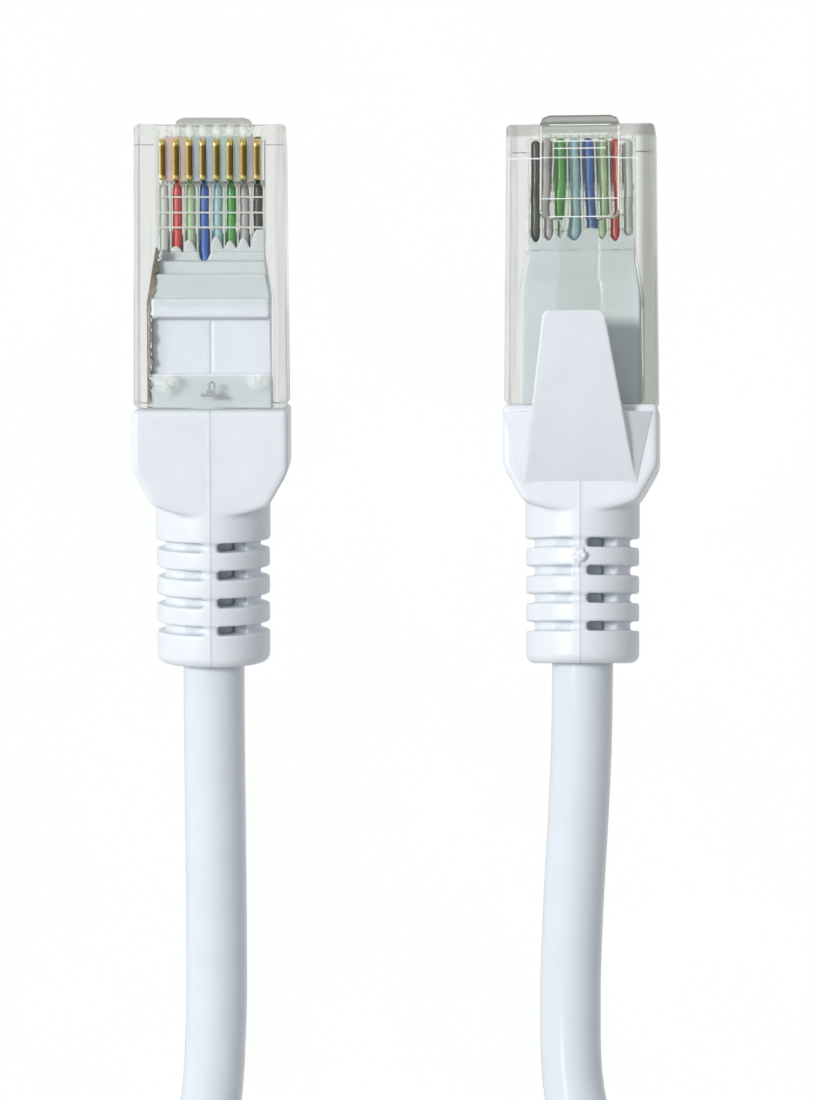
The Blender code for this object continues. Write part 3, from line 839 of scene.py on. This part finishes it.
def mould_mesh():
    """The white block that grips the wires: smooth on the latch side, stepped and recessed on the other."""
    front = mirrored([(3.95, -9.35), (4.25, -11.2), (4.5, -13.0)])
    body = mirrored([(4.15, -11.3), (4.5, -13.0), (4.6, MOULD_REAR)])
    slope = [(-9.0, 0.85), (-9.35, 0.85), (-10.5, 1.15), (-12.0, 1.75), (-14.0, 2.11), (-14.0, 4.0),
             (-9.0, 4.0)]
    under = [(-9.0, 0.3), (-10.3, 0.3), (-10.35, -1.6), (-10.35, -3.0), (-9.0, -3.0)]
    recess = box((-5.0, MOULD_RECESS_REAR, -3.1), (5.0, MOULD_RECESS_FRONT, -1.55))
    seam = box((-0.07, MOULD_RECESS_REAR, -1.7), (0.07, MOULD_RECESS_FRONT - 0.2, -1.42))
    mesh = join(plate(front, -1.6, MOULD_HALF_HEIGHT), plate(body, -MOULD_HALF_HEIGHT, MOULD_HALF_HEIGHT))
    mesh = cut(mesh, side_wedge(slope), side_wedge(under))
    mesh = join(mesh, plate(lip_outline(CONTACT_SIDE_LIP), -0.62, -0.38),
                plate(lip_outline(LATCH_SIDE_LIP), 0.5, 0.9))
    return moulded(cut(mesh, recess, seam), 0.08, 3)


def ramp_mesh():
    """The pale raised bar in front of the recess, rounded along its length and overhanging it."""
    bar = box((-4.5, -14.6, -2.5), (4.5, -13.1, -1.75))
    return moulded(bevelled(bar, 0.2), 0.08, 4)


def lump_mesh(radius, seed):
    """A small lump of flash: a flattened ball, roughened by seeded noise."""
    bm = bmesh.new()
    bmesh.ops.create_icosphere(bm, subdivisions=4, radius=radius)
    for vert in bm.verts:
        rough = noise.fractal(vert.co * 3.2 + Vector((seed, 0, 0)), 0.8, 2.0, 4)
        vert.co *= 1 + LUMP_ROUGHNESS * rough
        vert.co.z *= LUMP_FLATTENING
    return bake(temporary(bm))


def gate_mesh():
    """The rough spot on the first ring where the plastic was injected, on the latch side."""
    bm = bmesh.new()
    for seed, (x, y, z, radius) in enumerate(GATE_LUMPS):
        lump = lump_mesh(radius, 5.0 * seed)
        lump.transform(Matrix.Translation((x, y, z)))
        bm.from_mesh(lump)
    return moulded(bake(temporary(bm)), 0.06, 1)


def sliver_mesh():
    """A ragged dark strip in the gap between the mould and one wall of plug A's housing."""
    steps = 90
    start = GAP_WALL_SIDE[0][0]
    end = GAP_WALL_SIDE[-1][0]
    outer = []
    inner = []
    for step in range(steps + 1):
        y = start + (end - start) * step / steps
        ragged = 0.3 * noise.fractal(Vector((y * 1.7, 4.0, 1.0)), 0.8, 2.0, 4)
        wall = interpolated(GAP_WALL_SIDE, y)
        outer.append((wall, y))
        inner.append((min(interpolated(GAP_MOULD_SIDE, y) + ragged, wall - 0.03), y))
    return plate(outer + inner[::-1], -2.25, -1.2)


def loop_mark_mesh():
    """The little loop and bar left by the mould, in the middle of the housing's rear bridge."""
    bm = bmesh.new()
    steps = 14
    for step in range(steps):
        angle = math.radians(-20 + 220 * step / (steps - 1))
        made = bmesh.ops.create_icosphere(bm, subdivisions=2, radius=0.085)["verts"]
        place = (-0.12 + 0.2 * math.cos(angle), -19.75 + 0.33 * math.sin(angle), -3.28)
        bmesh.ops.translate(bm, verts=made, vec=place)
    add_box(bm, (-0.75, -20.55, -3.33), (0.75, -20.3, -3.22))
    add_box(bm, (-0.35, -20.3, -3.33), (0.3, -20.0, -3.22))
    return moulded(bake(temporary(bm)), 0.05, 1)


def cloud_mesh():
    """Thin plates that carry the cloudy stress marks at both ends of the rear bridge."""
    bm = bmesh.new()
    for x, y, wide, deep in CLOUD_SPOTS:
        add_box(bm, (x - wide, y - deep, -3.25), (x + wide, y + deep, -3.2))
    return bake(temporary(bm))


MOULD = mould_mesh()
RAMP = ramp_mesh()
LOOP_MARK = loop_mark_mesh()
CLOUDS = cloud_mesh()

for suffix, to_row in PLUGS.items():
    piece("boot_body", BOOT, suffix, "root", SEAMED_PVC, ["boot_" + suffix])
    tongue = piece("tongue", TONGUE, suffix, None, SHADED_TONGUE_PVC, ["boot_tongue_" + suffix])
    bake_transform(tongue)
    piece("mould", MOULD, suffix, "root", MOULD_WHITE, ["inner_mould_" + suffix])
    piece("mould_bar", RAMP, suffix, "root", MOULD_WHITE)
    piece("loop_mark", LOOP_MARK, suffix, "root", GREY_MARK)
    piece("cloudy_spots", CLOUDS, suffix, "root", FAINT_CLOUD)
piece("gate_mark", gate_mesh(), "b", "root", WHITE_PVC)
piece("dark_sliver", sliver_mesh(), "a", "root", DARK_GAP)


# ---------------------------------------------------------------- contacts and wires

def rounded_corner(x, y, radius, way):
    """A quarter circle from the side at x round to the end at y; way is 1 for a front end, -1 for a rear."""
    steps = 6
    points = []
    for step in range(steps + 1):
        angle = math.pi / 2 * step / steps
        points.append((x - radius + radius * math.cos(angle),
                       y - way * radius + way * radius * math.sin(angle)))
    return points


def contact_mesh(index):
    """A gold blade with rounded top corners, set on edge across its wire."""
    outline = [(CONTACT_FOOT, CONTACT_REAR), (CONTACT_TOP - 0.15, CONTACT_REAR),
               (CONTACT_TOP - 0.03, CONTACT_REAR + 0.03), (CONTACT_TOP + 0.02, CONTACT_REAR + 0.14),
               (CONTACT_TOP, CONTACT_REAR + 0.3)]
    outline += rounded_corner(CONTACT_TOP, CONTACT_FRONT, CONTACT_CORNER, 1)
    outline.append((CONTACT_FOOT, CONTACT_FRONT))
    mesh = bevelled(plate(outline, -CONTACT_WIDTH / 2, CONTACT_WIDTH / 2), 0.035, 2)
    mesh.transform(Matrix.Translation((pin_x(index), 0, 0)) @ Matrix.Rotation(math.pi / 2, 4, "Y"))
    return crisp(mesh, 40)


def wire_radius(y):
    """Radius of a wire's insulation: rounded off at its front end, and pinched behind its contact."""
    pinch = 1 - 0.12 * math.exp(-((y + 4.45) / 0.33) ** 2)
    front = math.sqrt(max(0.0, 1 - max(0.0, (y - WIRE_FRONT + 0.25) / 0.3) ** 2))
    return WIRE_RADIUS * pinch * max(front, 0.35)


def wire_mesh(index):
    """One insulated conductor, which wanders a little."""
    steps = 60
    sides = 20
    bm = bmesh.new()
    rings = []
    for step in range(steps + 1):
        y = WIRE_FRONT + (WIRE_REAR - WIRE_FRONT) * step / steps
        middle = pin_x(index) + 0.05 * noise.noise(Vector((index * 7.3, y * 0.55, 0.0)))
        radius = wire_radius(y)
        ring = []
        for side in range(sides):
            angle = math.tau * side / sides
            ring.append(bm.verts.new((middle + radius * math.cos(angle), y, radius * math.sin(angle))))
        rings.append(ring)
    skin(bm, rings)
    mesh = bake(temporary(bm))
    mesh.shade_smooth()
    return mesh


for index in range(1, PIN_COUNT + 1):
    blade = contact_mesh(index)
    strand = wire_mesh(index)
    for suffix in PLUGS:
        piece("contact_%d_blade" % index, blade, suffix, "root", GOLD,
              ["contact_%d_%s" % (index, suffix)])
        piece("wire_%d_insulation" % index, strand, suffix, "root", WIRES[index - 1],
              ["wire_%d_%s" % (index, suffix)])


# ---------------------------------------------------------------- clear pieces

LOAD_BAR_RIBS = (-5.5, -6.68, -7.8)
# (distance from the pin, y) of the sloping end of a contact slot
SLOT_SHOULDER = ((0.51, -4.22), (0.19, -4.24), (0.17, -4.40), (0.22, -4.58), (0.37, -4.78), (0.51, -4.80))
# (y, half width) of the lines across the latch
LATCH_CROSS_LINES = ((-0.28, 2.3), (-1.02, 2.1), (-1.55, 2.0), (-2.1, 2.0), (-6.0, 2.9),
                     (LATCH_SHOULDER + 0.1, 2.35))
LATCH_LINE_LOW = 0.31
LATCH_LINE_HIGH = 0.37


def comb_mesh():
    """Thin ribs that keep the wires apart, and the three cross ribs of the load bar."""
    bm = bmesh.new()
    for index in range(PIN_COUNT + 1):
        x = pin_x(index) - PIN_PITCH / 2
        add_box(bm, (x - 0.05, -9.7, -0.56), (x + 0.05, -4.7, -0.30))
        add_box(bm, (x - 0.05, -8.9, 0.55), (x + 0.05, -1.2, 0.90))
    for y in LOAD_BAR_RIBS:
        add_box(bm, (-4.05, y - 0.07, -0.57), (4.05, y + 0.07, -0.44))
    return bake(temporary(bm))


def shoulder_mesh():
    """The sloping ends of the contact slots, which narrow the view of each wire behind its contact."""
    bm = bmesh.new()
    for index in range(1, PIN_COUNT + 1):
        for side in (-1, 1):
            corners = [(pin_x(index) + side * x, y, -0.58) for x, y in SLOT_SHOULDER]
            add_prism(bm, corners, (0, 0, 0.14))
    bmesh.ops.recalc_face_normals(bm, faces=bm.faces)
    return bake(temporary(bm))


def latch_outline():
    """Half of the lever's plan outline: wide hook, narrow tail and slightly wider thumb end."""
    half, tail, thumb = LATCH_HALF_WIDTH, LATCH_TAIL_HALF_WIDTH, LATCH_THUMB_HALF_WIDTH
    points = [(half - 0.75, LATCH_NOSE), (half - 0.2, LATCH_NOSE - 0.2), (half, LATCH_NOSE - 0.75)]
    points += rounded_corner(half, LATCH_SHOULDER, 0.6, -1)
    return points + [(tail + 0.25, LATCH_SHOULDER), (tail, LATCH_SHOULDER - 0.25), (tail, LATCH_THUMB),
                     (thumb, LATCH_THUMB - 0.5), (thumb, LATCH_END)]


def sloped(mesh):
    """Lay a mesh drawn level about the latch's hinge line along the latch's slope."""
    mesh.transform(Matrix.Translation((0, 0, LATCH_NOSE_Z)) @ Matrix.Rotation(-LATCH_SLOPE, 4, "X"))
    return mesh


def latch_mesh():
    """The lever with its rounded hook, and the root that joins it to the housing's nose."""
    lever = plate(mirrored(latch_outline()), -LATCH_HALF_THICKNESS, LATCH_HALF_THICKNESS)
    root = box((-2.85, -0.7, 3.1), (2.85, 0.05, 3.85))
    return crisp(join(sloped(bevelled(lever, 0.16, 3)), bevelled(root, 0.12, 2)))


def latch_line_mesh():
    """Thin cloudy lines along the lever's edges, and across it where its thickness steps."""
    bm = bmesh.new()
    for side in (-1, 1):
        low, high = sorted((side * 2.9, side * 2.99))
        add_box(bm, (low, LATCH_SHOULDER + 0.6, LATCH_LINE_LOW), (high, -0.3, LATCH_LINE_HIGH))
    for y, half in LATCH_CROSS_LINES:
        add_box(bm, (-half, y - 0.04, LATCH_LINE_LOW), (half, y + 0.04, LATCH_LINE_HIGH))
    return sloped(bake(temporary(bm)))


def nose_line_mesh(low, high):
    """The line across the housing, on its latch side, where its nose was gated."""
    return box((low, -2.72, 3.24), (high, -2.62, 3.32))


def corner_line_mesh():
    """The faint lines across the corner blocks beside the contacts."""
    bm = bmesh.new()
    for low in (-5.6, 4.15):
        add_box(bm, (low, -1.6, -3.32), (low + 1.45, -1.51, -3.24))
    return bake(temporary(bm))


def divider_mesh():
    """Hazy strips in the dividers between the contacts."""
    bm = bmesh.new()
    for index in range(1, PIN_COUNT):
        x = pin_x(index) - PIN_PITCH / 2
        add_box(bm, (x - 0.29, CONTACT_REAR - 0.1, -2.62), (x + 0.29, CONTACT_FRONT + 0.15, -2.5))
    return bake(temporary(bm))


def comb_nose_mesh():
    """The rounded, cloudy front ends of the contact slots."""
    bm = bmesh.new()
    for index in range(2, PIN_COUNT):
        made = bmesh.ops.create_uvsphere(bm, u_segments=20, v_segments=12, radius=1.0)["verts"]
        bmesh.ops.scale(bm, verts=made, vec=(0.40, 0.62, 0.5))
        bmesh.ops.translate(bm, verts=made, vec=(pin_x(index), -0.62, -2.1))
    mesh = bake(temporary(bm))
    mesh.shade_smooth()
    return mesh


def finish_cad(node, mat, width):
    """Give a CAD node its material and, where a width is given, fine rounded edges."""
    obj = frame["nodes"][node]
    obj.data.materials.clear()
    obj.data.materials.append(mat)
    weld = obj.modifiers.new("Weld", "WELD")
    weld.merge_threshold = 0.001 * MM
    if width:
        add_bevel(obj, width, 3).harden_normals = True


COMB = join_loose(comb_mesh(), shoulder_mesh())
NOSE_LINES = {"a": nose_line_mesh(-3.0, 3.0), "b": nose_line_mesh(-5.62, 4.4)}
DIVIDERS = divider_mesh()
CORNER_LINES = corner_line_mesh()
COMB_NOSE = comb_nose_mesh()
LATCH = latch_mesh()
LATCH_LINES = latch_line_mesh()

for suffix, to_row in PLUGS.items():
    finish_cad("housing_" + suffix, CLEAR[suffix], 0.08 * MM)
    finish_cad("load_bar_" + suffix, CLEAR[suffix], 0.0)
    latch = piece("latch_lever", LATCH, suffix, None, CLEAR_LATCH, ["latch_" + suffix])
    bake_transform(latch)
    piece("latch_lines", LATCH_LINES, suffix, "latch_" + suffix, FROSTED)
    trim = (("comb_ribs", COMB, FROSTED), ("nose_line", NOSE_LINES[suffix], FROSTED),
            ("dividers", DIVIDERS, DIVIDER), ("corner_lines", CORNER_LINES, FAINT_LINE),
            ("comb_nose", COMB_NOSE, FAINT_LOBE))
    for name, mesh, mat in trim:
        piece(name, mesh, suffix, "root", mat)


# ---------------------------------------------------------------- cord

LEAD_A = [
    (-14.36, -1.08, 6.41), (-14.36, -7.64, 5.70), (-14.36, -14.21, 5.00), (-14.36, -20.77, 4.30),
    (-14.35, -27.0, 3.63), (-14.3, -34.0, 2.95), (-14.25, -42.0, 2.45), (-14.3, -49.0, 2.35),
    (-14.85, -56.0, 2.35), (-16.9, -63.0, 2.35), (-18.6, -67.0, 2.35), (-22.2, -75.5, 2.35),
    (-24.0, -82.0, 2.35), (HANK_X - HANK_OUTER_RADIUS, HANK_TOP_Y, LOWER_LAYER),
]
LEAD_B = [
    (14.04, -1.09, 4.84), (14.04, -7.69, 5.03), (14.04, -14.29, 5.21), (14.04, -20.88, 5.40),
    (13.96, -27.0, 5.2), (13.73, -33.0, 4.6), (13.37, -40.0, 4.0), (13.17, -47.0, 3.9),
    (13.45, -54.0, 4.5), (15.35, -61.0, 5.7), (17.7, -66.4, 6.45), (20.9, -75.0, 7.05),
    (22.2, -82.0, 7.05), (HANK_X + HANK_OUTER_RADIUS, HANK_TOP_Y, UPPER_LAYER),
]


def smooth_curve(points, spacing):
    """Points about spacing apart along a Catmull-Rom curve through the route's own points."""
    knots = [Vector(point) for point in points]
    knots = [2 * knots[0] - knots[1]] + knots + [2 * knots[-1] - knots[-2]]
    result = []
    for before, start, end, after in zip(knots, knots[1:], knots[2:], knots[3:]):
        count = max(1, round((end - start).length / spacing))
        for step in range(count):
            t = step / count
            result.append(0.5 * (2 * start + (end - before) * t
                                 + (2 * before - 5 * start + 4 * end - after) * t ** 2
                                 + (3 * start - before - 3 * end + after) * t ** 3))
    return result + [knots[-2]]


def eased(value):
    value = min(1.0, max(0.0, value))
    return value * value * (3 - 2 * value)


def hank_run(side, radius, height):
    """A straight run: away from the plugs on the left side (-1), and back towards them on the right (1)."""
    steps = 26
    start, end = (HANK_TOP_Y, HANK_FAR_Y) if side < 0 else (HANK_FAR_Y, HANK_TOP_Y)
    return [Vector((HANK_X + side * radius, start + (end - start) * step / steps, height))
            for step in range(steps)]


def hank_turn(first_angle, centre_y, radius_at, height_at):
    """A half turn, anticlockwise from first_angle; radius and height are functions of the degrees turned."""
    steps = 40
    points = []
    for step in range(steps):
        turned = 180 * step / steps
        angle = math.radians(first_angle + turned)
        radius = radius_at(turned)
        points.append(Vector((HANK_X + radius * math.cos(angle), centre_y + radius * math.sin(angle),
                              height_at(turned))))
    return points


def hank_route():
    """Two turns on the lower layer, winding in, then two on the upper layer, winding out."""
    inner, outer, width = HANK_INNER_RADIUS, HANK_OUTER_RADIUS, 2 * CABLE_RADIUS
    rise = UPPER_LAYER - LOWER_LAYER
    tops = [
        (lambda turned: outer - width * eased((turned - 42) / 125), lambda turned: LOWER_LAYER),
        (lambda turned: inner - 0.4 * math.sin(math.pi * eased((turned - 15) / 130)),
         lambda turned: LOWER_LAYER + rise * eased((turned - 35) / 90)),
        (lambda turned: inner + width * eased((turned + 5) / 122), lambda turned: UPPER_LAYER),
    ]
    passes = [(outer, LOWER_LAYER), (inner, LOWER_LAYER), (inner, UPPER_LAYER), (outer, UPPER_LAYER)]
    points = []
    for index, (radius, height) in enumerate(passes):
        points += hank_run(-1, radius, height)
        points += hank_turn(180, HANK_FAR_Y, lambda turned, r=radius: r, lambda turned, z=height: z)
        points += hank_run(1, radius, height)
        if index < len(tops):
            points += hank_turn(0, HANK_TOP_Y, *tops[index])
    return points


def cord_piece():
    """The whole cable in one piece, and its length in metres."""
    first = smooth_curve(LEAD_A, ROUTE_SPACING)
    last = smooth_curve(LEAD_B, ROUTE_SPACING)
    route = first[:-1] + hank_route() + last[::-1]
    curve = bpy.data.curves.new("cable", "CURVE")
    curve.dimensions = "3D"
    curve.bevel_depth = CABLE_RADIUS * MM
    curve.bevel_resolution = 7
    curve.use_fill_caps = True
    spline = curve.splines.new("POLY")
    spline.points.add(len(route) - 1)
    for target, point in zip(spline.points, route):
        target.co = (*(point * MM), 1.0)
    spline.use_smooth = True
    curve.materials.append(JACKET)
    length = sum((b - a).length for a, b in zip(route, route[1:])) * MM
    return placed("cable", curve), length


cable, cable_length = cord_piece()
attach(cable, "root")
for node in ("cable_a", "cable_b", "cable_hank"):
    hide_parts(node)

for side in ("left", "right"):
    finish_cad("tie_" + side, BLACK_TIE, 0.15 * MM)


# ---------------------------------------------------------------- stage, light and camera

FLOOR_SIZE = 3.0
FLOOR_DROP = 0.02 * MM
FLOOR_GLOW = 0.80
FLOOR_TINT = (0.990, 0.995, 1.0)
ROOM_BRIGHT_SIDE = (-0.45, 0.20, 0.87)
ROOM_DIM = 0.24
ROOM_BRIGHT = 0.57
ROOM_COLOUR = (0.97, 0.985, 1.0, 1.0)
KEY_PLACE = (-0.56, 0.12, 0.76)
KEY_SIZE = 0.22
KEY_POWER = 6.7
CAMERA_PLACE = (0.00053, -0.01218, 0.30)
CAMERA_LENS = 125.4
CAMERA_SENSOR = 36.0


def floor_material():
    """A lit white sweep: pure white to look at, and a softer glow on the objects that stand on it."""
    nodes = Nodes("floor_white")
    tint = nodes.ramp(nodes.noise(60.0), (0.3, FLOOR_TINT), (0.7, WHITE))
    glow = nodes.add("ShaderNodeEmission", Strength=FLOOR_GLOW)
    white = nodes.add("ShaderNodeEmission", Strength=1.0)
    for emission in (glow, white):
        nodes.link(tint, emission.inputs["Color"])
    path = nodes.add("ShaderNodeLightPath")
    seen = nodes.math("MAXIMUM", path.outputs["Is Camera Ray"], path.outputs["Is Transmission Ray"])
    nodes.mix_surface(seen, glow, white)
    return nodes.material


def build_floor():
    bm = bmesh.new()
    bmesh.ops.create_grid(bm, x_segments=2, y_segments=2, size=FLOOR_SIZE / 2)
    bmesh.ops.translate(bm, verts=bm.verts, vec=(0, 0, -FLOOR_DROP))
    floor = temporary(bm)
    floor.name = "floor"
    floor.data.materials.append(floor_material())


def build_key_light():
    """One round soft light, high on the left, that points at the origin."""
    light = bpy.data.lights.new("key", "AREA")
    light.shape = "DISK"
    light.size = KEY_SIZE
    light.energy = KEY_POWER
    key = placed("key", light)
    key.location = KEY_PLACE
    key.rotation_euler = (-Vector(KEY_PLACE)).to_track_quat("-Z", "Y").to_euler()


def build_world():
    """A pale room, brighter above and to the left than low on the right."""
    world = bpy.data.worlds.new("studio")
    world.use_nodes = True
    tree = world.node_tree
    background = tree.nodes["Background"]
    place = tree.nodes.new("ShaderNodeTexCoord")
    side = tree.nodes.new("ShaderNodeVectorMath")
    side.operation = "DOT_PRODUCT"
    side.inputs[1].default_value = ROOM_BRIGHT_SIDE
    ramp = tree.nodes.new("ShaderNodeMapRange")
    ramp.inputs["From Min"].default_value = -1.0
    ramp.inputs["To Min"].default_value = ROOM_DIM
    ramp.inputs["To Max"].default_value = ROOM_BRIGHT
    tree.links.new(place.outputs["Generated"], side.inputs[0])
    tree.links.new(side.outputs["Value"], ramp.inputs["Value"])
    tree.links.new(ramp.outputs["Result"], background.inputs["Strength"])
    background.inputs["Color"].default_value = ROOM_COLOUR
    bpy.context.scene.world = world


def build_camera():
    data = bpy.data.cameras.new("camera")
    data.lens = CAMERA_LENS
    data.sensor_width = CAMERA_SENSOR
    data.clip_start = 0.01
    camera = placed("camera", data)
    camera.location = CAMERA_PLACE
    bpy.context.scene.camera = camera


build_floor()
build_world()
build_key_light()
build_camera()
bpy.context.scene.view_settings.view_transform = "Standard"
